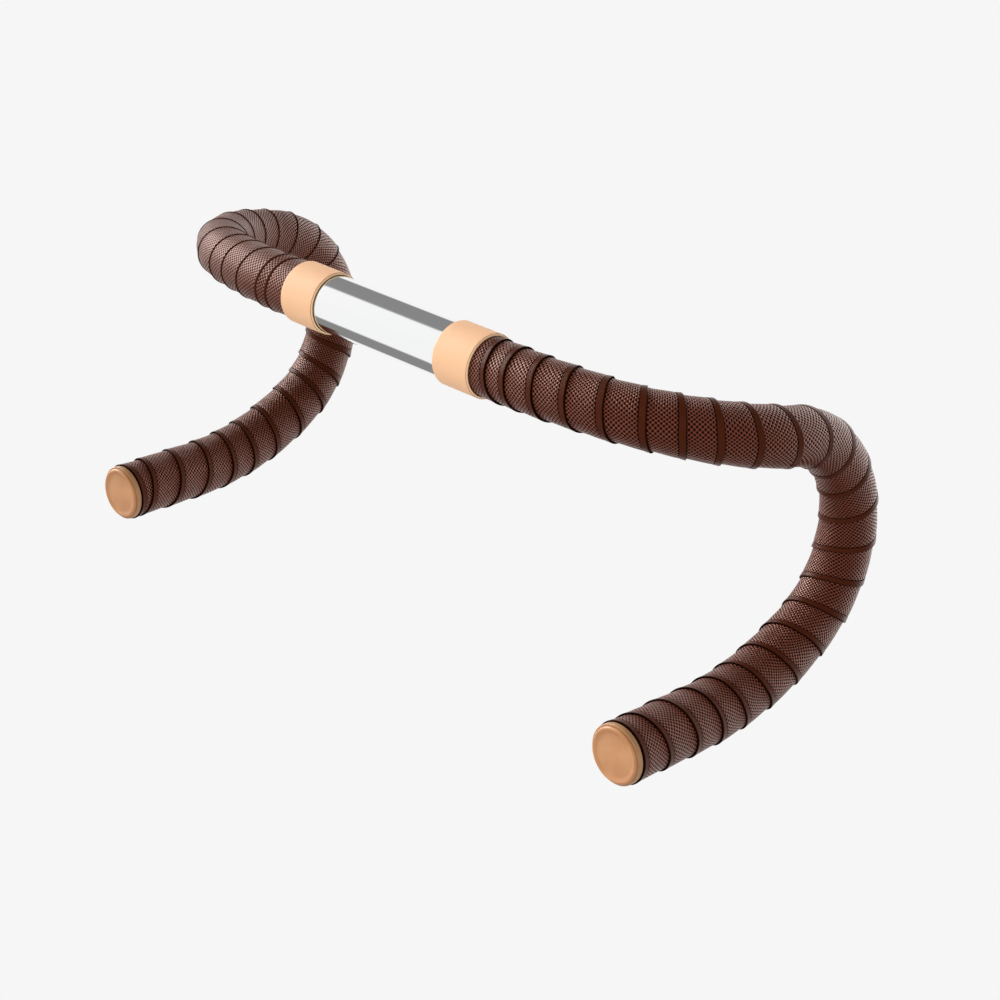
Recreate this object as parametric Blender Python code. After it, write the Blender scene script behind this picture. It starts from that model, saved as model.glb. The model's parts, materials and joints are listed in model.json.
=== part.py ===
"""Drop handlebar with wound bar tape, finishing bands and expanding bar-end plugs.

World frame: X to the rider's right, Y forward, Z up. The origin is the centre of the stem clamp area.
Each side is laid out along one centreline, which runs from the clamp centre out to the bar end. The left
side is the right side mirrored. Lengths are in millimetres until they reach a mesh.
"""

import math

import bmesh
import bpy
from mathutils import Matrix, Vector

MM = 0.001
SIDES = (("right", 1), ("left", -1))

# Centreline of one side, from the clamp centre outwards.
TOP_STRAIGHT = 85.0
TOP_BEND_RADIUS = 225.0
TOP_BEND_ANGLE = 15.0
CORNER_RADIUS = 82.0
CORNER_ANGLE = 74.0
HOOK_RADIUS = 62.0
HOOK_ANGLE = 135.5
DROP_BEND_RADIUS = 154.0
DROP_BEND_ANGLE = 32.5
DROP_STRAIGHT = 52.0
RAMP_SLOPE = 14.8  # the bar sits rolled forward by this much, so that its drop ends are nearly level
ARC_STEP = 10.0  # degrees of bend between two cross-sections
WIDE_ARC_STEP = 5.0  # the same on the wide bend of the tops

# Tube: butted alloy, thicker where the stem clamps it.
CLAMP_OD = 31.8
GRIP_OD = 23.8
TUBE_WALL = 1.8
CLAMP_HALF_LENGTH = 46.9  # the full diameter ends just inside the finishing bands
TAPER_END = TOP_STRAIGHT

# Bar tape: one strip per side, two layers thick where its turns overlap.
GAP = 0.3  # between pieces that touch on the real bar
TAPE_START = 61.0
TAPE_OD_UNDER_BAND = 31.6
TAPE_OD_TOPS = 31.6
TAPE_OD_DROPS = 33.2
TAPE_CHANGE_START = 335.0
TAPE_CHANGE_END = 430.0

# Finishing band: a ribbed strip over the inboard end of the bar tape.
BAND_START = 47.2
BAND_WIDTH = 25.8
BAND_THICKNESS = 1.1
BAND_EDGE = 0.4

# Bar-end plug, along its own axis: 0 is the end of the tube, positive is outwards.
CAP_OD = 32.8
CAP_BACK = 0.4
CAP_FRONT = 3.2
CAP_ROUND = 0.6
HUB_RADIUS = 9.4
HUB_END = -4.0
SOCKET_RADIUS = 9.5
SOCKET_FLOOR = 2.2
FACE_RADIUS = 15.4
FACE_BACK = CAP_FRONT + GAP
FACE_FRONT = 5.2
FACE_ROUND = 1.4
FACE_DISH = 0.5
FACE_FLAT_RADIUS = 5.0
FACE_BOSS_RADIUS = 9.2
SCREW_RADIUS = 3.0
SCREW_END = -31.0
SCREW_HEAD_ACROSS_FLATS = 10.0
SCREW_HEAD_BACK = -1.6
SLEEVE_RADIUS = 9.6
SLEEVE_START = HUB_END - GAP
SLEEVE_END = -24.0
SLEEVE_MOUTH_RADIUS = 8.4
SLEEVE_SLIT = 1.2
SLEEVE_SLIT_START = -10.0
WEDGE_SMALL_RADIUS = 4.6
WEDGE_RADIUS = 8.9
WEDGE_LENGTH = 9.0
WEDGE_LIP = 2.0

TUBE_SIDES = 20  # facets round a tube; the half step puts one facet square to +Z
TURNED_SIDES = 24  # a multiple of 6, so that a hexagon's corners fall on it


def clear_scene():
    for obj in list(bpy.data.objects):
        bpy.data.objects.remove(obj, do_unlink=True)


def make_material(name, srgb, roughness, metallic=0.0):
    linear = [((c / 255 + 0.055) / 1.055) ** 2.4 for c in srgb]
    material = bpy.data.materials.new(name)
    material.use_nodes = True
    shader = material.node_tree.nodes["Principled BSDF"]
    shader.inputs["Base Color"].default_value = (*linear, 1.0)
    shader.inputs["Roughness"].default_value = roughness
    shader.inputs["Metallic"].default_value = metallic
    material.diffuse_color = (*linear, 1.0)
    return material


class Station:
    """One cross-section of the bar: how far along it is, its centre, and its three axes."""

    def __init__(self, along, centre, tangent, up):
        self.along = along
        self.centre = centre.copy()
        self.tangent = tangent.copy()
        self.up = up.copy()
        self.side = tangent.cross(up)

    def ring(self, radius, mirror):
        """Corners of the section as a polygon round the tube, on the right side or mirrored to the left."""
        corners = []
        for k in range(TUBE_SIDES):
            angle = 2 * math.pi * (k + 0.5) / TUBE_SIDES
            point = self.centre + radius * (math.cos(angle) * self.up + math.sin(angle) * self.side)
            corners.append(Vector((point.x * mirror, point.y, point.z)))
        return corners


def straight_stations(stations, stops):
    """Adds a station at each distance in stops, measured along the bar, straight on from the last one."""
    for stop in stops:
        last = stations[-1]
        centre = last.centre + last.tangent * (stop - last.along)
        stations.append(Station(stop, centre, last.tangent, last.up))


def arc_stations(stations, radius, degrees, axis, step):
    """Adds the stations of a bend, whose section turns with the bar about the same axis."""
    count = max(1, round(degrees / step))
    turn = math.radians(degrees) / count
    half = Matrix.Rotation(turn / 2, 3, axis)
    whole = Matrix.Rotation(turn, 3, axis)
    for _ in range(count):
        last = stations[-1]
        chord = half @ last.tangent * (2 * radius * math.sin(turn / 2))
        tangent = whole @ last.tangent
        stations.append(Station(last.along + radius * turn, last.centre + chord, tangent, whole @ last.up))


def bar_stations():
    """Cross-sections of one side, from the clamp centre to the bar end."""
    roll = Matrix.Rotation(math.radians(-RAMP_SLOPE), 3, "X")
    plane_normal = roll @ Vector((0, 0, 1))
    band_end = BAND_START + BAND_WIDTH
    stations = [Station(0.0, Vector((0, 0, 0)), Vector((1, 0, 0)), plane_normal)]
    straight_stations(stations, (CLAMP_HALF_LENGTH, TAPE_START, band_end, band_end + 2 * GAP, TAPER_END))
    arc_stations(stations, TOP_BEND_RADIUS, TOP_BEND_ANGLE, plane_normal, WIDE_ARC_STEP)
    arc_stations(stations, CORNER_RADIUS, CORNER_ANGLE, plane_normal, ARC_STEP)
    hook_axis = stations[-1].tangent.cross(-plane_normal)
    arc_stations(stations, HOOK_RADIUS, HOOK_ANGLE, hook_axis, ARC_STEP)
    arc_stations(stations, DROP_BEND_RADIUS, DROP_BEND_ANGLE, hook_axis, ARC_STEP)
    straight_stations(stations, (stations[-1].along + DROP_STRAIGHT,))
    return stations


def tube_radius(along):
    """Outer radius: full at the clamp, then a straight taper down to the grip."""
    share = (along - CLAMP_HALF_LENGTH) / (TAPER_END - CLAMP_HALF_LENGTH)
    return (CLAMP_OD + (GRIP_OD - CLAMP_OD) * min(max(share, 0.0), 1.0)) / 2


def tape_radius(along):
    """Outer radius of the wound tape: thin under the band, and fuller on the drops than on the tops."""
    if along <= BAND_START + BAND_WIDTH + 0.001:
        return TAPE_OD_UNDER_BAND / 2
    share = (along - TAPE_CHANGE_START) / (TAPE_CHANGE_END - TAPE_CHANGE_START)
    return (TAPE_OD_TOPS + (TAPE_OD_DROPS - TAPE_OD_TOPS) * min(max(share, 0.0), 1.0)) / 2


def add_object(name, mesh_data, material, matrix=None):
    """A closed mesh from (points, faces), with its faces turned outwards."""
    points, faces = mesh_data
    bm = bmesh.new()
    made = [bm.verts.new([c * MM for c in point]) for point in points]
    for face in faces:
        bm.faces.new([made[i] for i in face])
    bmesh.ops.recalc_face_normals(bm, faces=bm.faces)
    mesh = bpy.data.meshes.new(name)
    bm.to_mesh(mesh)
    bm.free()
    mesh.materials.append(material)
    obj = bpy.data.objects.new(name, mesh)
    bpy.context.scene.collection.objects.link(obj)
    if matrix is not None:
        obj.matrix_world = matrix
    return obj


def pipe(outer, inner):
    """(points, faces) of an open pipe between two lists of rings, closed by a flat ring at each end."""
    count = len(outer[0])
    points = [p for ring in outer for p in ring] + [p for ring in inner for p in ring]
    base = len(outer) * count
    faces = []
    for first in (0, base):
        for row in range(len(outer) - 1):
            start = first + row * count
            for k in range(count):
                after = (k + 1) % count
                faces.append((start + k, start + after, start + count + after, start + count + k))
    for row in (0, (len(outer) - 1) * count):
        for k in range(count):
            after = (k + 1) % count
            faces.append((row + k, row + after, base + row + after, base + row + k))
    return points, faces


def hexagon_reach(across_flats, angle):
    """Distance from the centre of a hexagon to its outline at an angle; a corner is at 0."""
    from_flat = (angle % (math.pi / 3)) - math.pi / 6
    return across_flats / 2 / math.cos(from_flat)


def turned(profile):
    """(points, faces) of a closed outline turned about Z. A corner is (along, radius), or
    (along, across_flats, "hex") where the section is a hexagon. A radius of 0 is a point on the axis."""
    points, rings, faces = [], [], []
    for along, size, *shape in profile:
        if size == 0:
            rings.append([len(points)] * TURNED_SIDES)
            points.append((0, 0, along))
            continue
        rings.append(list(range(len(points), len(points) + TURNED_SIDES)))
        for k in range(TURNED_SIDES):
            angle = 2 * math.pi * k / TURNED_SIDES
            radius = hexagon_reach(size, angle) if shape else size
            points.append((radius * math.cos(angle), radius * math.sin(angle), along))
    for i, ring in enumerate(rings):
        following = rings[(i + 1) % len(rings)]
        for k in range(TURNED_SIDES):
            after = (k + 1) % TURNED_SIDES
            corners = [ring[k], ring[after], following[after], following[k]]
            corners = list(dict.fromkeys(corners))
            if len(corners) > 2:
                faces.append(corners)
    return points, faces


def rounded(along, radius, size, steps=3):
    """Corners of an outside edge rounded by size, from the side of a disc to its front face."""
    corners = []
    for k in range(steps + 1):
        angle = math.pi / 2 * k / steps
        corners.append((along - size + size * math.sin(angle), radius - size + size * math.cos(angle)))
    return corners


def handlebar_tube(stations, material):
    """The bent tube, from the left bar end to the right one, open at both ends."""
    outer, inner = [], []
    for mirror, half in ((-1, stations[:0:-1]), (1, stations)):
        for station in half:
            radius = tube_radius(station.along)
            outer.append(station.ring(radius, mirror))
            inner.append(station.ring(radius - TUBE_WALL, mirror))
    return add_object("handlebar_tube", pipe(outer, inner), material)


def bar_tape(side, mirror, stations, material):
    """The wound tape of one side, as one sleeve from under the finishing band to the bar end."""
    covered = [s for s in stations if s.along >= TAPE_START - 0.001]
    outer = [s.ring(tape_radius(s.along), mirror) for s in covered]
    inner = [s.ring(tube_radius(s.along) + GAP, mirror) for s in covered]
    return add_object(f"bar_tape_{side}", pipe(outer, inner), material)


def finishing_tape(side, mirror, stations, material):
    """The band that holds the tape's inboard end down, with its two edges eased."""
    inner_radius = CLAMP_OD / 2 + GAP
    outer_radius = inner_radius + BAND_THICKNESS
    end = BAND_START + BAND_WIDTH
    first = stations[0]
    outer, inner = [], []
    for along, radius in (
        (BAND_START, outer_radius - BAND_EDGE),
        (BAND_START + BAND_EDGE, outer_radius),
        (end - BAND_EDGE, outer_radius),
        (end, outer_radius - BAND_EDGE),
    ):
        station = Station(along, first.centre + first.tangent * along, first.tangent, first.up)
        outer.append(station.ring(radius, mirror))
        inner.append(station.ring(inner_radius, mirror))
    return add_object(f"finishing_tape_{side}", pipe(outer, inner), material)


def end_cap(side, matrix, material):
    """The plug's flange and hub, with a socket for the face disc and a hexagon for the screw's head."""
    head = SCREW_HEAD_ACROSS_FLATS + 2 * GAP
    profile = [
        (HUB_END, SCREW_RADIUS + GAP),
        (HUB_END, HUB_RADIUS),
        (CAP_BACK, HUB_RADIUS),
        (CAP_BACK, CAP_OD / 2),
        *rounded(CAP_FRONT, CAP_OD / 2, CAP_ROUND),
        (CAP_FRONT, SOCKET_RADIUS),
        (SOCKET_FLOOR, SOCKET_RADIUS),
        (SOCKET_FLOOR, head, "hex"),
        (SCREW_HEAD_BACK - GAP, head, "hex"),
        (SCREW_HEAD_BACK - GAP, SCREW_RADIUS + GAP),
    ]
    return add_object(f"end_cap_{side}", turned(profile), material, matrix)


def cap_face(side, matrix, material):
    """The disc that closes the cap: a shallow dish inside a rounded rim, on a boss that fits the socket."""
    rim = FACE_RADIUS - 2 * FACE_ROUND
    profile = [
        (SOCKET_FLOOR + GAP, 0),
        (SOCKET_FLOOR + GAP, FACE_BOSS_RADIUS),
        (FACE_BACK, FACE_BOSS_RADIUS),
        (FACE_BACK, FACE_RADIUS),
        *rounded(FACE_FRONT, FACE_RADIUS, FACE_ROUND),
        (FACE_FRONT - FACE_DISH * 0.35, rim),
        (FACE_FRONT - FACE_DISH, FACE_FLAT_RADIUS),
        (FACE_FRONT - FACE_DISH, 0),
    ]
    return add_object(f"cap_face_{side}", turned(profile), material, matrix)


def plug_screw(side, matrix, material):
    """The screw that turns with the cap and draws the wedge nut into the sleeve."""
    profile = [
        (SCREW_END, 0),
        (SCREW_END, SCREW_RADIUS - 0.6),
        (SCREW_END + 0.6, SCREW_RADIUS),
        (SCREW_HEAD_BACK, SCREW_RADIUS),
        (SCREW_HEAD_BACK, SCREW_HEAD_ACROSS_FLATS, "hex"),
        (SOCKET_FLOOR - GAP, SCREW_HEAD_ACROSS_FLATS, "hex"),
        (SOCKET_FLOOR - GAP, 0),
    ]
    return add_object(f"plug_screw_{side}", turned(profile), material, matrix)


def slit_cutter(side, angle, matrix):
    """A flat blade through the sleeve's axis, open at the sleeve's inboard end."""
    bm = bmesh.new()
    bmesh.ops.create_cube(bm, size=1.0)
    length = SLEEVE_SLIT_START - (SLEEVE_END - 2)
    size = Matrix.Diagonal((4 * SLEEVE_RADIUS * MM, SLEEVE_SLIT * MM, length * MM, 1.0))
    middle = Matrix.Translation((0, 0, (SLEEVE_SLIT_START + SLEEVE_END - 2) / 2 * MM))
    bm.transform(Matrix.Rotation(angle, 4, "Z") @ middle @ size)
    mesh = bpy.data.meshes.new(f"slit_{side}")
    bm.to_mesh(mesh)
    bm.free()
    cutter = bpy.data.objects.new(f"slit_{side}_{round(math.degrees(angle))}", mesh)
    cutter.hide_render = True
    cutter.display_type = "WIRE"
    bpy.context.scene.collection.objects.link(cutter)
    cutter.matrix_world = matrix
    return cutter


def expander_sleeve(side, matrix, material):
    """The sleeve that grips the bore: slit from its inboard end, where its mouth is a cone."""
    bore = SCREW_RADIUS + GAP
    wedge_front = SLEEVE_END + WEDGE_LENGTH - WEDGE_LIP - GAP
    profile = [
        (SLEEVE_END, SLEEVE_MOUTH_RADIUS),
        (SLEEVE_END, SLEEVE_RADIUS),
        (SLEEVE_START, SLEEVE_RADIUS),
        (SLEEVE_START, bore),
        (wedge_front + GAP, bore),
        (wedge_front + GAP, WEDGE_SMALL_RADIUS + GAP),
    ]
    sleeve = add_object(f"expander_sleeve_{side}", turned(profile), material, matrix)
    for angle in (math.radians(5), math.radians(95)):
        cut = sleeve.modifiers.new("slit", "BOOLEAN")
        cut.operation = "DIFFERENCE"
        cut.solver = "EXACT"
        cut.object = slit_cutter(side, angle, matrix)
    return sleeve


def wedge_nut(side, matrix, material):
    """The cone nut that the screw draws outwards into the sleeve's mouth."""
    lip = SLEEVE_END - GAP
    front = SLEEVE_END + WEDGE_LENGTH - WEDGE_LIP - GAP
    mouth_slope = (SLEEVE_MOUTH_RADIUS - WEDGE_SMALL_RADIUS - GAP) / (WEDGE_LENGTH - WEDGE_LIP)
    profile = [
        (lip - WEDGE_LIP, SCREW_RADIUS + GAP),
        (lip - WEDGE_LIP, WEDGE_RADIUS),
        (lip, WEDGE_RADIUS),
        (lip, SLEEVE_MOUTH_RADIUS - GAP - GAP * mouth_slope - 0.1),
        (front - GAP, WEDGE_SMALL_RADIUS - 0.1),
        (front - GAP, SCREW_RADIUS + GAP),
    ]
    return add_object(f"wedge_nut_{side}", turned(profile), material, matrix)


def plug_matrix(station, mirror):
    """Frame of a plug: its origin is the centre of the tube's end, and its Z points outwards."""
    origin = Vector((station.centre.x * mirror, station.centre.y, station.centre.z))
    outward = Vector((station.tangent.x * mirror, station.tangent.y, station.tangent.z))
    return Matrix.Translation(origin * MM) @ outward.to_track_quat("Z", "Y").to_matrix().to_4x4()


def main():
    clear_scene()
    polished = make_material("polished_alloy", (226, 228, 230), 0.12, 1.0)
    brown = make_material("brown_tape", (92, 56, 46), 0.62)
    tan = make_material("tan_finishing_tape", (240, 198, 150), 0.55)
    gum = make_material("gum_cap", (222, 168, 112), 0.38)
    gum_dark = make_material("gum_face", (214, 158, 106), 0.35)
    zinc = make_material("zinc_screw", (186, 188, 190), 0.32, 1.0)
    nylon = make_material("black_nylon", (28, 28, 30), 0.5)
    wedge = make_material("wedge_alloy", (170, 172, 175), 0.4, 1.0)

    stations = bar_stations()
    handlebar_tube(stations, polished)
    for side, mirror in SIDES:
        bar_tape(side, mirror, stations, brown)
        finishing_tape(side, mirror, stations, tan)
        matrix = plug_matrix(stations[-1], mirror)
        end_cap(side, matrix, gum)
        cap_face(side, matrix, gum_dark)
        plug_screw(side, matrix, zinc)
        expander_sleeve(side, matrix, nylon)
        wedge_nut(side, matrix, wedge)


main()
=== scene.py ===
"""Looks of the drop handlebar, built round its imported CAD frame.

The tube, the wound tape, the finishing bands and the plugs are modelled finely here, on the CAD's
centreline. Each side is described once, from the clamp centre outwards, and the left side is the right
side mirrored, except for how its tape is wound. Lengths are in millimetres until they reach a mesh.
"""

import json
import math

import bmesh
import bpy
import numpy as np
from mathutils import Matrix, Vector


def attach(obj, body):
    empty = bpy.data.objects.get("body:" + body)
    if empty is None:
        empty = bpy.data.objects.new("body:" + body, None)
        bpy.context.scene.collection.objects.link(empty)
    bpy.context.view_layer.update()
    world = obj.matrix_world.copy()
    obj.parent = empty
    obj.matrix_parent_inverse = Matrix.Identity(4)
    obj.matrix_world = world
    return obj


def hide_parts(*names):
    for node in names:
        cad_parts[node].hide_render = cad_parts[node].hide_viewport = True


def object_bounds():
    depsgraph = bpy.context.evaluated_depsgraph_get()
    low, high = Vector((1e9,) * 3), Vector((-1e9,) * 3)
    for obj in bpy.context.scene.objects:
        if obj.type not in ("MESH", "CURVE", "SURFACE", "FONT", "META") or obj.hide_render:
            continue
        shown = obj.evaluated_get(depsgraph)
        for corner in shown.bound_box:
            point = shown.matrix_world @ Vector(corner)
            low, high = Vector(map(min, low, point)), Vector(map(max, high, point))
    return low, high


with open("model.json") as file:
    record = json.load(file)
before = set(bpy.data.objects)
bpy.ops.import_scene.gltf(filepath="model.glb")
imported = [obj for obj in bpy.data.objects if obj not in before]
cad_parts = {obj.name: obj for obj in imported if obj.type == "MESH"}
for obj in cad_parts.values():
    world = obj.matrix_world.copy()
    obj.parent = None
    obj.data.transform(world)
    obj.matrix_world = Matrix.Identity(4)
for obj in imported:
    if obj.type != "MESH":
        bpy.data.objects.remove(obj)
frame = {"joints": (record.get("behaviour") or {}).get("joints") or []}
CAD_BOX = [list(corner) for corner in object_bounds()]

MM = 0.001
SIDES = (("right", 1), ("left", -1))

# Centreline of one side.
TOP_STRAIGHT = 85.0
TOP_BEND_RADIUS = 225.0
TOP_BEND_ANGLE = 15.0
CORNER_RADIUS = 82.0
CORNER_ANGLE = 74.0
HOOK_RADIUS = 62.0
HOOK_ANGLE = 135.5
DROP_BEND_RADIUS = 154.0
DROP_BEND_ANGLE = 32.5
DROP_STRAIGHT = 52.0
RAMP_SLOPE = 14.8

# Tube.
CLAMP_OD = 31.8
GRIP_OD = 23.8
TUBE_WALL = 1.8
CLAMP_HALF_LENGTH = 46.9
TAPER_END = TOP_STRAIGHT
TUBE_SIDES = 96
TUBE_STEP = 2.5

# Bar tape: one long strip per side, wound from the bar end inwards, each turn lying over part of the last.
TAPE_START = 61.0
TAPE_RADIUS = (  # distance along the bar, and the mean radius over the wound tape
    (60.0, 15.9),
    (76.0, 15.9),
    (150.0, 15.3),
    (220.0, 15.8),
    (300.0, 14.8),
    (360.0, 15.5),
    (430.0, 16.5),
    (500.0, 16.7),
    (536.0, 16.3),
)
STEPS_PER_TURN = 80
MARGIN = {  # distance along the bar, and the width of the strip's smooth edge that shows there
    "right": ((60.0, 3.1), (536.0, 3.1)),
    "left": ((60.0, 1.5), (90.0, 1.2), (120.0, 0.5), (300.0, 0.5), (350.0, 3.1), (536.0, 3.1)),
}
EDGE_HEIGHT = 0.5  # the strip's edge over the mean radius
MARGIN_HEIGHT = 0.22  # the smooth edge beside the weave
WEAVE_HEIGHT = 0.08  # the weave beside the smooth edge
FOOT_HEIGHT = -0.5  # where it goes under the next turn
CREASE_DEPTH = 0.22  # between the weave and the smooth edge
HIDDEN_NEAR = 4.0  # how far the strip goes on under the next turn: a middle and an end distance
HIDDEN_FAR = 9.0
WIDEST_MARGIN = 0.42  # the smooth edge is never more than this share of what shows
TUCK = 2.0  # at the band, the strip is cut this far inboard of TAPE_START
OFF_TUBE = 0.05  # least gap between the strip and the tube
END_OF_STRIP = 2.0  # the strip is cut where less than this much of it would show
BAR_END_MARGIN = 0.2  # the tape stops this far short of the bar's end
SNUG_TURNS = 0.9  # how far the closer gaps beside the band reach
EDGE_RIPPLES = ((0.12, 3.17), (0.07, 7.31))  # height, and how many in a turn
LUMPS = ((0.05, 1.37, 0.3), (0.04, 2.61, 0.0))  # height, how many in a turn and phase in radians

# Weave embossed in the tape.
WEAVE_PITCH = 2.26
WEAVE_DEPTH = 0.3

# Finishing band.
BAND_START = 47.2
BAND_WIDTH = 25.8
BAND_INNER_RADIUS = 16.2
BAND_OUTER_RADIUS = 17.35
BAND_STEP = 0.55  # the outer layer stops this far short of the inner one, at each edge
BAND_LAYER = 0.45
BAND_CORNER = 0.12
BAND_BULGE = 0.06
BAND_SIDES = 192
BAND_RIB_PITCH = 0.55
BAND_WEFT_PITCH = 0.7
BAND_RIB_DEPTH = 0.04

# Plug, along its own axis: 0 is the end of the tube, positive is outwards.
CAP_RADIUS = 16.1
CAP_BACK = 0.4
CAP_FRONT = 3.2
CAP_BACK_CORNER = 0.3
CAP_FRONT_CORNER = 0.6
CAP_CROWN = 0.02
HUB_RADIUS = 9.4
HUB_START = -4.0
HUB_BEVEL = 0.4
SOCKET_RADIUS = 9.5  # in the cap's front, for the face's boss
SOCKET_FLOOR = 2.2
HEAD_SEAT = -1.9
BOSS_RADIUS = 9.2
BOSS_BACK = 2.5
FACE_RADIUS = 15.0
FACE_BACK = 3.3
FACE_FRONT = 4.7
FACE_RIM = 1.2
FACE_DISH = 0.8
TURNED_SIDES = 96
SCREW_RADIUS = 3.0
SCREW_PITCH = 1.0
SCREW_END = -31.0
THREAD_START = SCREW_END + 0.4
THREAD_END = -6.0
THREAD_DEPTH = 0.45
THREAD_STEPS = 8  # rows of points for each turn of the thread
HEAD_ACROSS_FLATS = 10.0
HEAD_BACK = -1.6
HEAD_FRONT = 1.9
HEAD_BEVEL = 0.3
HEX_EASE = 1.13  # where the corners are cut, as a share of the radius inside the flats
SLEEVE_RADIUS = 9.6
SLEEVE_START = -4.3
SLEEVE_END = -24.0
SLEEVE_MOUTH_RADIUS = 8.4
SLEEVE_SLIT = 1.2
SLEEVE_SLIT_START = -10.0
SLEEVE_SLIT_ANGLES = (5, 95)
RIDGES = 12
RIDGE_HEIGHT = 0.35
WEDGE_SMALL_RADIUS = 4.6
WEDGE_RADIUS = 8.9
WEDGE_LENGTH = 9.0
WEDGE_LIP = 2.0
GAP = 0.3

# Camera: where it stands and what it looks at, in millimetres.
CAMERA_PLACE = (854.0, -751.88, 457.81)
CAMERA_AIM = (67.05, 11.99, -80.95)
CAMERA_LENS = 84.0
CAMERA_SENSOR = 36.0

# Light.
PAPER = 0.922  # brightness of the plain floor
FLOOR_REACH = 20.0  # metres each way from the middle
SURROUND_LEVEL = 1.15
DARK_PANELS = (  # angle about the bar from forwards, up and round; half width; softness; brightness left
    (59.5, 30.7, 10.0, 0.26),
    (-107.8, 22.4, 8.0, 0.26),
)
BRIGHT_SIDE = (-0.8, 0.6, 0.0)
BRIGHT_SIDE_EDGE = (-0.5, -0.1)  # dim to bright, as the cosine of the angle to it
CEILING_EDGE = (0.77, 0.92)  # bright to dim, as the upward part of the direction
DIM_LEVEL = 0.16  # the studio's dim side and ceiling, beside its bright side
SOFTBOX = (-0.9, -0.15, 0.42)
SOFTBOX_EDGE = (0.9, 0.94)
SOFTBOX_END = (-0.82, -0.76)  # where it stops short, by the sideways part of the direction
SOFTBOX_LEVEL = 12.0
FRONT_EDGE = (0.78, 0.9)
FRONT_LEVEL = 2.0  # added straight in front of the bar
FILL_PLACE = (1.1, -1.3, 1.3)  # metres
FILL_AIM = (0.0, 0.05, 0.0)
FILL_SIZE = (1.6, 1.2)
FILL_POWER = 25.0


# Centreline ---------------------------------------------------------------------------------------------


def turned_about(vector, axis, angles):
    """One vector turned about an axis by each of an array of angles."""
    cos = np.cos(angles)[:, None]
    sin = np.sin(angles)[:, None]
    return vector * cos + np.cross(axis, vector) * sin + axis * axis.dot(vector) * (1 - cos)


class Centreline:
    """The bar's axis from the clamp centre to one bar end, as straight runs and bends."""

    def __init__(self):
        slope = math.radians(RAMP_SLOPE)
        plane_normal = np.array([0.0, math.sin(slope), math.cos(slope)])
        self.runs = []
        self.length = 0.0
        self.next = (np.zeros(3), np.array([1.0, 0.0, 0.0]), plane_normal)
        self.add_straight(TOP_STRAIGHT)
        self.add_bend(TOP_BEND_RADIUS, TOP_BEND_ANGLE, plane_normal)
        self.add_bend(CORNER_RADIUS, CORNER_ANGLE, plane_normal)
        hook_axis = np.cross(self.next[1], -plane_normal)
        self.add_bend(HOOK_RADIUS, HOOK_ANGLE, hook_axis)
        self.add_bend(DROP_BEND_RADIUS, DROP_BEND_ANGLE, hook_axis)
        self.add_straight(DROP_STRAIGHT)

    def add_straight(self, length):
        self.add_run(length, None, None)

    def add_bend(self, radius, degrees, axis):
        self.add_run(radius * math.radians(degrees), radius, axis)

    def add_run(self, length, radius, axis):
        run = (self.length, self.length + length, radius, axis, *self.next)
        self.runs.append(run)
        self.length += length
        self.next = tuple(row[0] for row in self.on_run(run, np.array([self.length])))

    @staticmethod
    def on_run(run, along):
        start, _, radius, axis, point, tangent, up = run
        if axis is None:
            ones = np.ones((len(along), 1))
            return point + tangent * (along - start)[:, None], tangent * ones, up * ones
        angles = (along - start) / radius
        inwards = np.cross(axis, tangent)
        moved = tangent * np.sin(angles)[:, None] + inwards * (1 - np.cos(angles))[:, None]
        return point + radius * moved, turned_about(tangent, axis, angles), turned_about(up, axis, angles)

    def sections(self, along):
        """Centres, tangents and up vectors at an array of distances along the bar."""
        parts = [np.zeros((len(along), 3)) for _ in range(3)]
        for run in self.runs:
            last = run is self.runs[-1]
            inside = (along >= run[0]) & ((along < run[1]) | last)
            for part, values in zip(parts, self.on_run(run, along[inside])):
                part[inside] = values
        return parts


BAR = Centreline()


def on_bar(along, around, radius, mirror):
    """Points in metres, at a distance along the bar, an angle round it (0 is up) and a radius.
    The three arrays have one shape, and the points have that shape with a last axis of three."""
    centre, tangent, up = BAR.sections(along.ravel())
    side = np.cross(tangent, up)
    angle = around.ravel()[:, None]
    points = centre + radius.ravel()[:, None] * (np.cos(angle) * up + np.sin(angle) * side)
    points[:, 0] *= mirror
    return (points * MM).reshape(*along.shape, 3)


def tube_radius(along):
    share = np.clip((along - CLAMP_HALF_LENGTH) / (TAPER_END - CLAMP_HALF_LENGTH), 0.0, 1.0)
    return (CLAMP_OD + (GRIP_OD - CLAMP_OD) * share) / 2


def smooth_step(share):
    share = np.clip(share, 0.0, 1.0)
    return share * share * (3 - 2 * share)


def eased_between(along, stops):
    """Values at an array of distances along the bar, eased between stops of (distance, value)."""
    places = np.array([place for place, _ in stops])
    values = np.array([value for _, value in stops])
    along = np.clip(along, places[0], places[-1] - 1e-6)
    after = np.searchsorted(places, along, side="right")
    share = (along - places[after - 1]) / (places[after] - places[after - 1])
    return values[after - 1] + (values[after] - values[after - 1]) * smooth_step(share)


def tape_radius(along):
    return eased_between(along, TAPE_RADIUS)


# Winding ------------------------------------------------------------------------------------------------


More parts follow.
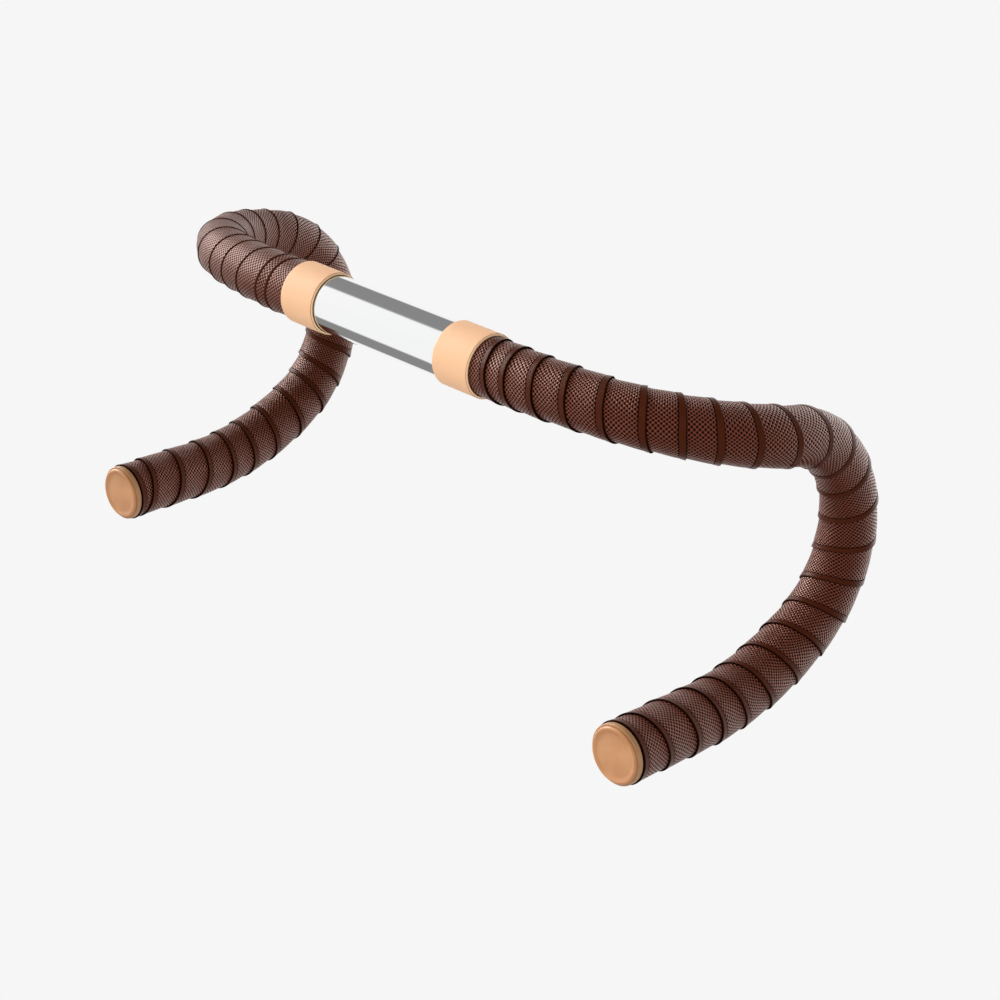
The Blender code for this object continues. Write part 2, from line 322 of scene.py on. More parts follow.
class Winding:
    """Where the outer edge of a wound strip lies, as a distance along the bar for each turn. Turns are
    counted from the finishing band outwards. The pitch wanders by a few slow waves, as a hand winds it,
    each with a height, a period in turns and a phase in degrees. The snug distance is how far the first
    edge is moved outwards, which closes up the turns beside the band."""

    def __init__(self, start, pitch, snug, waves):
        self.start = start
        self.pitch = pitch
        self.snug = snug
        self.waves = waves

    def edge(self, turn):
        place = self.start + self.pitch * turn + self.snug * np.exp(-((turn / SNUG_TURNS) ** 2))
        for height, period, phase in self.waves:
            place = place + height * np.sin(2 * math.pi * turn / period + math.radians(phase))
        for height, waves_per_turn in EDGE_RIPPLES:
            place = place + height * np.sin(2 * math.pi * turn * waves_per_turn)
        return np.minimum(place, BAR.length - BAR_END_MARGIN)

    def turns(self):
        """First and last turn that the strip needs, from under the band to the bar end."""
        turn = np.arange(-4.0, 40.0, 0.01)
        showing = self.edge(turn) - self.edge(turn - 1)
        first = turn[np.argmax(self.edge(turn) > TAPE_START + TUCK)]
        last = turn[(turn > 5) & (showing < END_OF_STRIP)][0]
        return first, last


WINDINGS = {
    "right": Winding(
        start=63.8,
        pitch=19.57,
        snug=9.6,
        waves=((1.0, 5.0, 87.0), (1.1, 6.0, 75.0), (2.7, 12.0, 69.0), (4.9, 15.0, 16.0)),
    ),
    "left": Winding(
        start=66.9,
        pitch=19.37,
        snug=15.9,
        waves=((1.3, 4.0, -165.0), (2.3, 6.0, -22.0), (2.3, 8.0, 82.0)),
    ),
}


# Meshes -------------------------------------------------------------------------------------------------


def mesh_object(name, points, faces, material, sharp_angle=40.0):
    """A closed, smooth-shaded mesh with its faces turned outwards."""
    mesh = bpy.data.meshes.new(name)
    mesh.from_pydata(points.reshape(-1, 3).tolist(), [], faces)
    bm = bmesh.new()
    bm.from_mesh(mesh)
    bmesh.ops.recalc_face_normals(bm, faces=bm.faces)
    bm.to_mesh(mesh)
    bm.free()
    mesh.shade_smooth()
    mesh.set_sharp_from_angle(angle=math.radians(sharp_angle))
    mesh.materials.append(material)
    obj = bpy.data.objects.new(name, mesh)
    bpy.context.scene.collection.objects.link(obj)
    return obj


def ring_faces(rows, columns, first=0):
    """Quads between rows of points, each row a closed ring."""
    faces = []
    for row in range(rows - 1):
        here = first + row * columns
        for k in range(columns):
            after = (k + 1) % columns
            faces.append((here + k, here + after, here + columns + after, here + columns + k))
    return faces


def pipe_faces(rows, columns):
    """Faces of a pipe whose outer rows come first and whose inner rows follow, closed at both ends."""
    inner = rows * columns
    faces = ring_faces(rows, columns) + ring_faces(rows, columns, inner)
    for row in (0, (rows - 1) * columns):
        for k in range(columns):
            after = (k + 1) % columns
            faces.append((row + k, row + after, inner + row + after, inner + row + k))
    return faces


def turned(name, profile, material, matrix, sides=TURNED_SIDES):
    """A closed outline of (along, radius) turned about an axis. The radius may depend on the angle."""
    angles = 2 * math.pi * np.arange(sides) / sides
    rows = []
    for along, radius in profile:
        reach = radius(angles) if callable(radius) else np.full(sides, float(radius))
        level = np.full(sides, along)
        rows.append(np.stack([reach * np.cos(angles), reach * np.sin(angles), level], axis=1))
    points = np.array(rows) * MM
    faces = ring_faces(len(rows), sides)
    last = (len(rows) - 1) * sides
    for k in range(sides):
        after = (k + 1) % sides
        faces.append((last + k, last + after, after, k))
    obj = mesh_object(name, points, faces, material)
    weld(obj)
    obj.matrix_world = matrix
    return obj


def weld(obj):
    """Joins the points that a profile on the axis leaves on top of each other."""
    bm = bmesh.new()
    bm.from_mesh(obj.data)
    bmesh.ops.remove_doubles(bm, verts=bm.verts, dist=1e-7)
    bmesh.ops.recalc_face_normals(bm, faces=bm.faces)
    bm.to_mesh(obj.data)
    bm.free()


def arc(along, radius, size, start, end, steps=6):
    """Profile points round a corner of the given size, between two angles in degrees: 0 faces outwards
    from the axis, 90 faces along it."""
    points = []
    for k in range(steps + 1):
        angle = math.radians(start + (end - start) * k / steps)
        points.append((along + size * math.sin(angle), radius + size * math.cos(angle)))
    return points


# Pieces -------------------------------------------------------------------------------------------------


def polished_tube(material):
    half = np.linspace(0, BAR.length, round(BAR.length / TUBE_STEP))
    along = np.concatenate([half[:0:-1], half])
    angles = 2 * math.pi * np.arange(TUBE_SIDES) / TUBE_SIDES
    distance, around = np.meshgrid(along, angles, indexing="ij")
    outer = tube_radius(distance)
    points = np.stack([on_bar(distance, around, outer, 1), on_bar(distance, around, outer - TUBE_WALL, 1)])
    points[:, : len(half) - 1, :, 0] *= -1
    obj = mesh_object("polished_tube", points, pipe_faces(len(along), TUBE_SIDES), material)
    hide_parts("handlebar_tube")
    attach(obj, "bar")


def strip_section(showing, margin):
    """Section of the strip for arrays of the width that each turn shows and the smooth edge's width: two
    arrays, the distance in from the strip's outer edge and the height over the tape's mean radius, one row
    a turn, with the outer face from edge to edge and then the inner face back."""
    woven = showing - margin
    across, height = [], []

    def add(distance, level):
        across.append(distance)
        height.append(np.full_like(showing, level))

    # The wall at the edge, and the smooth margin with its eased corner.
    add(0.0 * showing, EDGE_HEIGHT - 0.3)
    for share, drop in ((0.015, 0.12), (0.05, 0.04), (0.12, 0.0)):
        add(margin * share, EDGE_HEIGHT - drop)
    for share in (0.3, 0.5, 0.7, 0.88, 0.97):
        add(margin * share, EDGE_HEIGHT + (MARGIN_HEIGHT - EDGE_HEIGHT) * smooth_step(share))
    # The crease, and the weave that falls to where the next turn covers it.
    add(margin, MARGIN_HEIGHT - 0.05)
    add(margin + 0.03, WEAVE_HEIGHT - CREASE_DEPTH)
    add(margin + 0.25, WEAVE_HEIGHT - CREASE_DEPTH)
    add(margin + 0.5, WEAVE_HEIGHT - 0.03)
    for share in (0.1, 0.2, 0.32, 0.44, 0.56, 0.68, 0.79, 0.89, 0.96, 1.0):
        add(margin + woven * share, WEAVE_HEIGHT + (FOOT_HEIGHT - WEAVE_HEIGHT) * smooth_step(share))
    # The covered part, and the inner face back to the edge.
    add(showing + HIDDEN_NEAR, FOOT_HEIGHT - 0.7)
    add(showing + HIDDEN_FAR, FOOT_HEIGHT - 1.7)
    add(showing + HIDDEN_FAR, FOOT_HEIGHT - 2.9)
    add(showing, FOOT_HEIGHT - 2.6)
    add(np.full_like(showing, HIDDEN_FAR), FOOT_HEIGHT - 1.6)
    add(np.full_like(showing, HIDDEN_NEAR), FOOT_HEIGHT - 0.6)
    add(0.0 * showing, FOOT_HEIGHT + 0.02)
    return np.array(across).T, np.array(height).T


def wound_tape(side, mirror, material):
    """The bar tape of one side as one strip, wound with its outer edge on the turn before."""
    winding = WINDINGS[side]
    first, last = winding.turns()
    turn = np.linspace(first, last, round((last - first) * STEPS_PER_TURN))
    edge = winding.edge(turn)
    showing = edge - winding.edge(turn - 1)
    margin = np.minimum(eased_between(edge, MARGIN[side]), WIDEST_MARGIN * showing)
    across, height = strip_section(showing, margin)
    along = np.clip(edge[:, None] - across, TAPE_START - TUCK, BAR.length)
    around = np.repeat(2 * math.pi * turn[:, None], along.shape[1], axis=1)
    lumps = sum(height * np.sin(around * count + phase) for height, count, phase in LUMPS)
    radius = np.maximum(tape_radius(along) + height + lumps, tube_radius(along) + OFF_TUBE)
    points = on_bar(along, around, radius, mirror)
    rows, columns = along.shape
    faces = ring_faces(rows, columns)
    faces.append(tuple(range(columns)))
    faces.append(tuple(range((rows - 1) * columns, rows * columns)))
    obj = mesh_object(f"wound_tape_{side}", points, faces, material, sharp_angle=50.0)

    girth = 2 * math.pi * tape_radius(edge)
    tilt = np.arctan2(np.gradient(edge, turn), girth)[:, None]
    length = np.concatenate([[0.0], np.cumsum((girth * np.gradient(turn))[1:])])[:, None]
    on_strip = np.stack(
        [length - across * np.sin(tilt), across * np.cos(tilt), showing[:, None] - across], axis=-1
    )
    from_weave = across - margin[:, None]
    layer = obj.data.attributes.new("on_strip", "FLOAT_VECTOR", "POINT")
    layer.data.foreach_set("vector", on_strip.ravel().astype(np.float32))
    layer = obj.data.attributes.new("from_weave", "FLOAT", "POINT")
    layer.data.foreach_set("value", from_weave.ravel().astype(np.float32))
    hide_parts(f"bar_tape_{side}")
    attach(obj, "bar")


def finishing_band(side, mirror, material):
    """The finishing band: two layers, the outer one a little narrower, so that each edge has a step."""
    end = BAND_START + BAND_WIDTH
    top = BAND_OUTER_RADIUS
    low = top - BAND_LAYER
    inner = BAND_INNER_RADIUS
    ease = BAND_CORNER
    outline = [
        (BAND_START, inner),
        *reversed(arc(BAND_START + ease, low - ease, ease, 0, -90)),
        (BAND_START + BAND_STEP, low),
        (BAND_START + BAND_STEP, top - ease),
        *reversed(arc(BAND_START + BAND_STEP + ease, top - ease, ease, 0, -90)),
    ]
    for share in (0.1, 0.3, 0.5, 0.7, 0.9):
        bulge = BAND_BULGE * math.sin(math.pi * share)
        outline.append((BAND_START + BAND_STEP + (BAND_WIDTH - 2 * BAND_STEP) * share, top + bulge))
    outline += [
        *arc(end - BAND_STEP - ease, top - ease, ease, 0, 90),
        (end - BAND_STEP, low),
        *arc(end - ease, low - ease, ease, 0, 90),
        (end, inner),
    ]
    angles = 2 * math.pi * np.arange(BAND_SIDES) / BAND_SIDES
    along = np.array([place for place, _ in outline])
    radius = np.array([reach for _, reach in outline])
    around, distance = np.meshgrid(angles, along, indexing="ij")
    reach = np.repeat(radius[None, :], BAND_SIDES, axis=0)
    points = on_bar(distance, around, reach, mirror)
    rows, columns = distance.shape
    faces = ring_faces(rows, columns)
    last = (rows - 1) * columns
    for k in range(columns):
        after = (k + 1) % columns
        faces.append((last + k, last + after, after, k))
    obj = mesh_object(f"finishing_band_{side}", points, faces, material)
    on_band = np.stack([around * BAND_OUTER_RADIUS, distance - BAND_START, reach - low], axis=-1)
    layer = obj.data.attributes.new("on_band", "FLOAT_VECTOR", "POINT")
    layer.data.foreach_set("vector", on_band.ravel().astype(np.float32))
    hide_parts(f"finishing_tape_{side}")
    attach(obj, "bar")


def hexagon(across_flats):
    """Radius of a hexagon with slightly eased corners, as a function of the angle."""

    def reach(angles):
        from_flat = angles % (math.pi / 3) - math.pi / 6
        return np.minimum(across_flats / 2 / np.cos(from_flat), across_flats / 2 * HEX_EASE)

    return reach


def thread(along, radius):
    """Radius of a screw thread at a distance along it, as a function of the angle."""

    def reach(angles):
        phase = (along / SCREW_PITCH - angles / (2 * math.pi)) % 1.0
        return radius - THREAD_DEPTH * np.abs(2 * phase - 1)

    return reach


def end_cap(side, matrix, material):
    """The flange and its hub, with a hexagonal seat for the screw's head and a socket for the face."""
    head = HEAD_ACROSS_FLATS + 2 * GAP
    back = CAP_BACK_CORNER
    front = CAP_FRONT_CORNER
    profile = [
        (HUB_START, SCREW_RADIUS + GAP),
        (HUB_START, HUB_RADIUS - HUB_BEVEL),
        (HUB_START + HUB_BEVEL, HUB_RADIUS),
        (CAP_BACK, HUB_RADIUS),
        *arc(CAP_BACK + back, CAP_RADIUS - back, back, -90, 0),
        ((CAP_BACK + CAP_FRONT) / 2, CAP_RADIUS + CAP_CROWN),
        *arc(CAP_FRONT - front, CAP_RADIUS - front, front, 0, 90),
        (CAP_FRONT, SOCKET_RADIUS),
        (SOCKET_FLOOR, SOCKET_RADIUS),
        (SOCKET_FLOOR, hexagon(head)),
        (HEAD_SEAT, hexagon(head)),
        (HEAD_SEAT, SCREW_RADIUS + GAP),
    ]
    return turned(f"plug_cap_{side}", profile, material, matrix)


def cap_face(side, matrix, material):
    """The face disc: a boss behind, and a rounded rim round a shallow dish."""
    profile = [
        (BOSS_BACK, 0.0),
        (BOSS_BACK, BOSS_RADIUS),
        (FACE_BACK, BOSS_RADIUS),
        (FACE_BACK, FACE_RADIUS - 0.4),
        (FACE_BACK + 0.05, FACE_RADIUS - 0.1),
        (FACE_BACK + 0.1, FACE_RADIUS),
        *arc(FACE_FRONT - FACE_RIM, FACE_RADIUS - FACE_RIM, FACE_RIM, 0, 90, steps=12),
    ]
    dish = FACE_RADIUS - FACE_RIM
    for share in (0.98, 0.95, 0.91, 0.86, 0.8, 0.7, 0.55, 0.4, 0.2, 0.0):
        depth = FACE_DISH * smooth_step((1 - share) * 5.5)
        profile.append((FACE_FRONT - depth, dish * share))
    return turned(f"plug_face_{side}", profile, material, matrix)


def plug_screw(side, matrix, material):
    """The screw: a thread with a tapered start, a plain shank and a hexagonal head."""
    shank = SCREW_RADIUS - 0.1
    profile = [(SCREW_END, 0.0), (SCREW_END, SCREW_RADIUS - 0.7)]
    count = round((THREAD_END - THREAD_START) / SCREW_PITCH * THREAD_STEPS)
    for k in range(count + 1):
        along = THREAD_START + (THREAD_END - THREAD_START) * k / count
        profile.append((along, thread(along, SCREW_RADIUS)))
    profile += [
        (THREAD_END + 0.3, shank),
        (HEAD_BACK, shank),
        (HEAD_BACK, hexagon(HEAD_ACROSS_FLATS - 0.4)),
        (HEAD_BACK + HEAD_BEVEL, hexagon(HEAD_ACROSS_FLATS)),
        (HEAD_FRONT - HEAD_BEVEL, hexagon(HEAD_ACROSS_FLATS)),
        (HEAD_FRONT, hexagon(HEAD_ACROSS_FLATS - 0.5)),
        (HEAD_FRONT, 0.0),
    ]
    return turned(f"zinc_screw_{side}", profile, material, matrix, sides=48)


def expander_sleeve(side, matrix, material):
    """The slit sleeve, with grip ridges round it."""
    bore = SCREW_RADIUS + GAP
    wedge_front = SLEEVE_END + WEDGE_LENGTH - WEDGE_LIP
    profile = [(SLEEVE_END, SLEEVE_MOUTH_RADIUS), (SLEEVE_END, SLEEVE_RADIUS - 0.3)]
    first = SLEEVE_END + 0.3
    last = SLEEVE_START - 0.8
    width = (last - first) / RIDGES
    for k in range(RIDGES):
        start = first + (last - first) * k / RIDGES
        profile += [
            (start, SLEEVE_RADIUS),
            (start + width * 0.6, SLEEVE_RADIUS),
            (start + width * 0.72, SLEEVE_RADIUS - RIDGE_HEIGHT),
            (start + width * 0.88, SLEEVE_RADIUS - RIDGE_HEIGHT),
        ]
    profile += [
        (last, SLEEVE_RADIUS),
        (SLEEVE_START - 0.3, SLEEVE_RADIUS),
        (SLEEVE_START, SLEEVE_RADIUS - 0.3),
        (SLEEVE_START, bore),
        (wedge_front, bore),
        (wedge_front, WEDGE_SMALL_RADIUS + GAP),
    ]
    sleeve = turned(f"nylon_sleeve_{side}", profile, material, matrix)
    for degrees in SLEEVE_SLIT_ANGLES:
        cutter = slit_cutter(math.radians(degrees), matrix)
        cut = sleeve.modifiers.new("slit", "BOOLEAN")
        cut.operation = "DIFFERENCE"
        cut.solver = "EXACT"
        cut.object = cutter
        with bpy.context.temp_override(object=sleeve):
            bpy.ops.object.modifier_apply(modifier=cut.name)
        bpy.data.objects.remove(cutter, do_unlink=True)
    sleeve.data.set_sharp_from_angle(angle=math.radians(30))
    return sleeve


def slit_cutter(angle, matrix):
    """A thin slab across the sleeve's inner end, which cuts two opposite slits."""
    bm = bmesh.new()
    bmesh.ops.create_cube(bm, size=1.0)
    length = SLEEVE_SLIT_START - (SLEEVE_END - 2)
    size = Matrix.Diagonal((4 * SLEEVE_RADIUS * MM, SLEEVE_SLIT * MM, length * MM, 1.0))
    middle = Matrix.Translation((0, 0, (SLEEVE_SLIT_START + SLEEVE_END - 2) / 2 * MM))
    bm.transform(Matrix.Rotation(angle, 4, "Z") @ middle @ size)
    mesh = bpy.data.meshes.new("slit")
    bm.to_mesh(mesh)
    bm.free()
    cutter = bpy.data.objects.new("slit", mesh)
    bpy.context.scene.collection.objects.link(cutter)
    cutter.matrix_world = matrix
    return cutter


def wedge_nut(side, matrix, material):
    """The cone nut: a lip that rests on the sleeve's end, and a cone inside its mouth."""
    lip = SLEEVE_END - GAP
    front = SLEEVE_END + WEDGE_LENGTH - WEDGE_LIP - GAP
    slope = (SLEEVE_MOUTH_RADIUS - WEDGE_SMALL_RADIUS - GAP) / (WEDGE_LENGTH - WEDGE_LIP)
    profile = [
        (lip - WEDGE_LIP, SCREW_RADIUS + GAP),
        (lip - WEDGE_LIP, WEDGE_RADIUS - 0.3),
        (lip - WEDGE_LIP + 0.3, WEDGE_RADIUS),
        (lip - 0.2, WEDGE_RADIUS),
        (lip, WEDGE_RADIUS - 0.2),
        (lip, SLEEVE_MOUTH_RADIUS - GAP - GAP * slope - 0.1),
        (front - GAP, WEDGE_SMALL_RADIUS - 0.1),
        (front - GAP, SCREW_RADIUS + GAP),
    ]
    return turned(f"cone_nut_{side}", profile, material, matrix)


def plug_matrix(side):
    """Frame of a plug, from its joint: the origin is the centre of the tube's end, and Z points out."""
    joint = next(j for j in frame["joints"] if j["name"] == f"cap_twist_{side}")
    outward = Vector(joint["axis"])
    return Matrix.Translation(joint["pos_m"]) @ outward.to_track_quat("Z", "Y").to_matrix().to_4x4()


def plug(side, looks):
    """The five pieces of one plug, each on the body that it moves with."""
    matrix = plug_matrix(side)
    made = (
        (end_cap, "gum", f"cap_{side}", f"end_cap_{side}", "gum_cap"),
        (cap_face, "gum_face", f"cap_{side}", f"cap_face_{side}", "gum_face"),
        (plug_screw, "zinc", f"cap_{side}", f"plug_screw_{side}", "zinc_screw"),
        (expander_sleeve, "nylon", f"plug_{side}", f"expander_sleeve_{side}", "black_nylon"),
        (wedge_nut, "wedge", f"wedge_{side}", f"wedge_nut_{side}", "wedge_alloy"),
    )
    for build, look, body, node, slot in made:
        obj = build(side, matrix, looks[look])
        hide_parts(node)
        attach(obj, body)


# Materials ----------------------------------------------------------------------------------------------


def linear(red, green, blue):
    """An sRGB colour of 0 to 255 as the linear colour that a shader takes."""
    values = [c / 255 for c in (red, green, blue)]
    return tuple([c / 12.92 if c < 0.04045 else ((c + 0.055) / 1.055) ** 2.4 for c in values] + [1.0])


class Look:
    """A node material being built: short calls add a node, link it and give its output."""

    def __init__(self, name, **settings):
        self.material = bpy.data.materials.new(name)
        self.material.use_nodes = True
        self.tree = self.material.node_tree
        self.shader = self.tree.nodes["Principled BSDF"]
        for key, value in settings.items():
            self.shader.inputs[key.replace("_", " ").title().replace("Ior", "IOR")].default_value = value

    def add(self, kind, inputs=(), **properties):
        node = self.tree.nodes.new(kind)
        for key, value in properties.items():
            setattr(node, key, value)
        for key, value in dict(inputs).items():
            self.connect(value, node.inputs[key])
        return node

    def connect(self, value, socket):
        if isinstance(value, bpy.types.NodeSocket):
            self.tree.links.new(value, socket)
        else:
            socket.default_value = value

    def math(self, operation, *values, clamp=False):
        node = self.add("ShaderNodeMath", enumerate(values), operation=operation, use_clamp=clamp)
        return node.outputs[0]

    def blend(self, factor, first, second):
        """A colour between two colours."""
        node = self.add("ShaderNodeMix", data_type="RGBA")
        self.connect(factor, node.inputs["Factor"])
        self.connect(first, node.inputs["A"])
        self.connect(second, node.inputs["B"])
        return node.outputs["Result"]

    def ramp(self, value, low, high, start=0.0, end=1.0):
        """Value eased from start at low to end at high."""
        limits = {"Value": value, "From Min": low, "From Max": high, "To Min": start, "To Max": end}
        node = self.add("ShaderNodeMapRange", limits, interpolation_type="SMOOTHSTEP")
        return node.outputs["Result"]

    def stretched(self, place, scale):
        """A place multiplied by a scale along each axis."""
        node = self.add("ShaderNodeVectorMath", {0: place, 1: scale}, operation="MULTIPLY")
        return node.outputs[0]

    def noise(self, place, scale, detail=3.0, roughness=0.5):
        inputs = {"Vector": place, "Scale": scale, "Detail": detail, "Roughness": roughness}
        return self.add("ShaderNodeTexNoise", inputs).outputs["Fac"]

    def bump(self, height, distance, strength=1.0):
        node = self.add("ShaderNodeBump", {"Height": height, "Distance": distance, "Strength": strength})
        self.tree.links.new(node.outputs["Normal"], self.shader.inputs["Normal"])

    def place(self):
        return self.add("ShaderNodeTexCoord").outputs["Object"]

    def attribute(self, name):
        """The three parts of a vector stored on the mesh."""
        vector = self.add("ShaderNodeAttribute", attribute_name=name).outputs["Vector"]
        return vector, self.add("ShaderNodeSeparateXYZ", {"Vector": vector}).outputs


def tape_look():
    """Microfibre tape embossed with a diamond weave, with a smooth edge. Painted shade darkens the weave's
    pits, the crease, the strip's edge wall and the turn beside each seam.
    """
    look = Look("brown_tape", sheen_weight=0.07, sheen_roughness=0.3, ior=1.62, specular_ior_level=0.6)
    look.shader.inputs["Sheen Tint"].default_value = linear(255, 196, 172)
    look.shader.inputs["Specular Tint"].default_value = linear(255, 216, 198)
    vector, (length, across, to_seam) = look.attribute("on_strip")
    turn = 2 * math.pi / WEAVE_PITCH
    first_row = look.math("COSINE", look.math("MULTIPLY", look.math("ADD", length, across), turn))
    second_row = look.math("COSINE", look.math("MULTIPLY", look.math("SUBTRACT", length, across), turn))
    weave = look.math("MULTIPLY", look.math("ADD", first_row, second_row), 0.5)
    from_weave = look.add("ShaderNodeAttribute", attribute_name="from_weave").outputs["Fac"]
    smooth_edge = look.ramp(from_weave, 0.1, 0.35, 1.0, 0.0)
    woven = look.math("SUBTRACT", 1.0, smooth_edge)
    raised = look.ramp(weave, -0.55, 0.5)
    # Painted shadow: the turn underneath is darkened beside the edge of the turn that lies over it.
    seam_shadow = look.ramp(to_seam, 0.1, 0.7, 1.0, 0.0)
    # Painted shade: the strip's edge wall is darkened towards near black.
    cut = look.ramp(across, 0.02, 0.25, 1.0, 0.0)
    # Painted shade in the crease between the weave and the smooth edge.
    crease = look.ramp(look.math("ABSOLUTE", look.math("SUBTRACT", from_weave, 0.2)), 0.12, 0.4, 1.0, 0.0)

    patches = look.noise(look.place(), 60.0, 4.0, 0.6)
    along_strip = look.stretched(vector, (0.9, 2.2, 0.0))
    fibres = look.noise(along_strip, 3.0, 5.0, 0.7)
    thread_colour = look.blend(patches, linear(104, 44, 27), linear(124, 58, 38))
    # Painted shade: the weave's pits are near black, standing in for the shade inside them.
    weave_with_pit_shade = look.blend(raised, linear(26, 9, 5), thread_colour)
    edge_colour = look.blend(fibres, linear(60, 24, 11), linear(80, 36, 19))
    colour = look.blend(smooth_edge, weave_with_pit_shade, edge_colour)
    # Painted shade and shadow: the crease, the edge wall and the turn beside each seam are darkened
    # towards near black.
    dark = look.math("MAXIMUM", look.math("MAXIMUM", seam_shadow, cut), look.math("MULTIPLY", crease, 0.8))
    colour = look.blend(look.math("MULTIPLY", dark, 0.92), colour, linear(10, 5, 4))
    look.connect(colour, look.shader.inputs["Base Color"])

    emboss = look.math("MULTIPLY", raised, woven)
    roughness = look.math("ADD", look.math("MULTIPLY", fibres, 0.16), 0.24)
    look.connect(roughness, look.shader.inputs["Roughness"])
    shine = look.math("ADD", look.math("MULTIPLY", emboss, 1.0), look.math("MULTIPLY", smooth_edge, 0.08))
    shine = look.math("MULTIPLY", shine, look.math("SUBTRACT", 1.0, dark))
    look.connect(shine, look.shader.inputs["Specular IOR Level"])
    height = look.math("ADD", emboss, look.math("MULTIPLY", fibres, 0.25))
    look.bump(height, WEAVE_DEPTH * MM)
    return look.material


def band_look():
    """Tan finishing tape with a very fine rib."""
    look = Look("tan_finishing_tape", specular_ior_level=0.25)
    _, (around, along, height) = look.attribute("on_band")
    rib = look.math("SINE", look.math("MULTIPLY", around, 2 * math.pi / BAND_RIB_PITCH))
    weft = look.math("SINE", look.math("MULTIPLY", along, 2 * math.pi / BAND_WEFT_PITCH))
    cloth = look.math("MULTIPLY", look.math("ADD", rib, weft), 0.5)
    patches = look.noise(look.place(), 90.0, 4.0, 0.6)
    base = look.blend(patches, linear(243, 194, 153), linear(243, 203, 166))
    weave = look.blend(look.ramp(cloth, -1.0, 1.0), linear(234, 178, 132), base)
    lower = look.ramp(height, 0.05, 0.2, 1.0, 0.0)
    colour = look.blend(lower, weave, linear(250, 214, 174))
    line = look.ramp(look.math("ABSOLUTE", look.math("SUBTRACT", height, 0.22)), 0.08, 0.2, 0.8, 0.0)
    colour = look.blend(line, colour, linear(150, 104, 60))
    look.connect(colour, look.shader.inputs["Base Color"])
    look.connect(look.ramp(patches, 0.3, 0.7, 0.46, 0.6), look.shader.inputs["Roughness"])
    look.bump(cloth, BAND_RIB_DEPTH * MM)
    return look.material


def gum_look(name, light, dark, roughness):
    """Gum rubber: mottled, with a fine moulded grain."""
    look = Look(name, subsurface_weight=0.08, subsurface_scale=0.004)
    look.shader.inputs["Subsurface Radius"].default_value = (1.0, 0.5, 0.25)
    place = look.place()
    patches = look.noise(place, 70.0, 3.0, 0.5)
    grain = look.noise(place, 2500.0, 2.0, 0.6)
    colour = look.blend(look.ramp(patches, 0.3, 0.7), light, dark)
    look.connect(colour, look.shader.inputs["Base Color"])
    spread = look.ramp(patches, 0.3, 0.7, roughness - 0.04, roughness + 0.06)
    look.connect(spread, look.shader.inputs["Roughness"])
    look.bump(grain, 0.03 * MM)
    return look.material


def metal_look(name, light, dark, roughness, scratch=0.02, lines=(1.0, 1.0, 1.0)):
    """Metal with fine marks that run along the stretched direction of its noise."""
    look = Look(name, metallic=1.0)
    place = look.place()
    marks = look.noise(look.stretched(place, lines), 400.0, 4.0, 0.7)
    smudges = look.noise(place, 40.0, 3.0, 0.5)
    look.connect(look.blend(smudges, light, dark), look.shader.inputs["Base Color"])
    spread = look.ramp(marks, 0.3, 0.7, roughness * 0.8, roughness * 1.25)
    look.connect(spread, look.shader.inputs["Roughness"])
    look.bump(marks, scratch * MM, 0.3)
    return look.material


def nylon_look():
    look = Look("black_nylon", specular_ior_level=0.4)
    place = look.place()
    grain = look.noise(place, 1500.0, 3.0, 0.6)
    patches = look.noise(place, 120.0, 2.0, 0.5)
    colour = look.blend(patches, linear(24, 24, 26), linear(36, 36, 38))
    look.connect(colour, look.shader.inputs["Base Color"])
    look.connect(look.ramp(patches, 0.3, 0.7, 0.42, 0.56), look.shader.inputs["Roughness"])
    look.bump(grain, 0.03 * MM)
    return look.material


# Stage --------------------------------------------------------------------------------------------------


def floor():
    lowest = min(corner[2] for corner in CAD_BOX)
    bm = bmesh.new()
    bmesh.ops.create_grid(bm, x_segments=8, y_segments=8, size=FLOOR_REACH)
    mesh = bpy.data.meshes.new("floor")
    bm.to_mesh(mesh)
    bm.free()
    obj = bpy.data.objects.new("floor", mesh)
    obj.location.z = lowest
    bpy.context.scene.collection.objects.link(obj)
    material = bpy.data.materials.new("plain_paper")
    material.use_nodes = True
    tree = material.node_tree
    tree.nodes.clear()
    glow = tree.nodes.new("ShaderNodeEmission")
    glow.inputs["Color"].default_value = (PAPER, PAPER, PAPER, 1.0)
    out = tree.nodes.new("ShaderNodeOutputMaterial")
    tree.links.new(glow.outputs[0], out.inputs["Surface"])
    mesh.materials.append(material)
    obj.visible_glossy = False


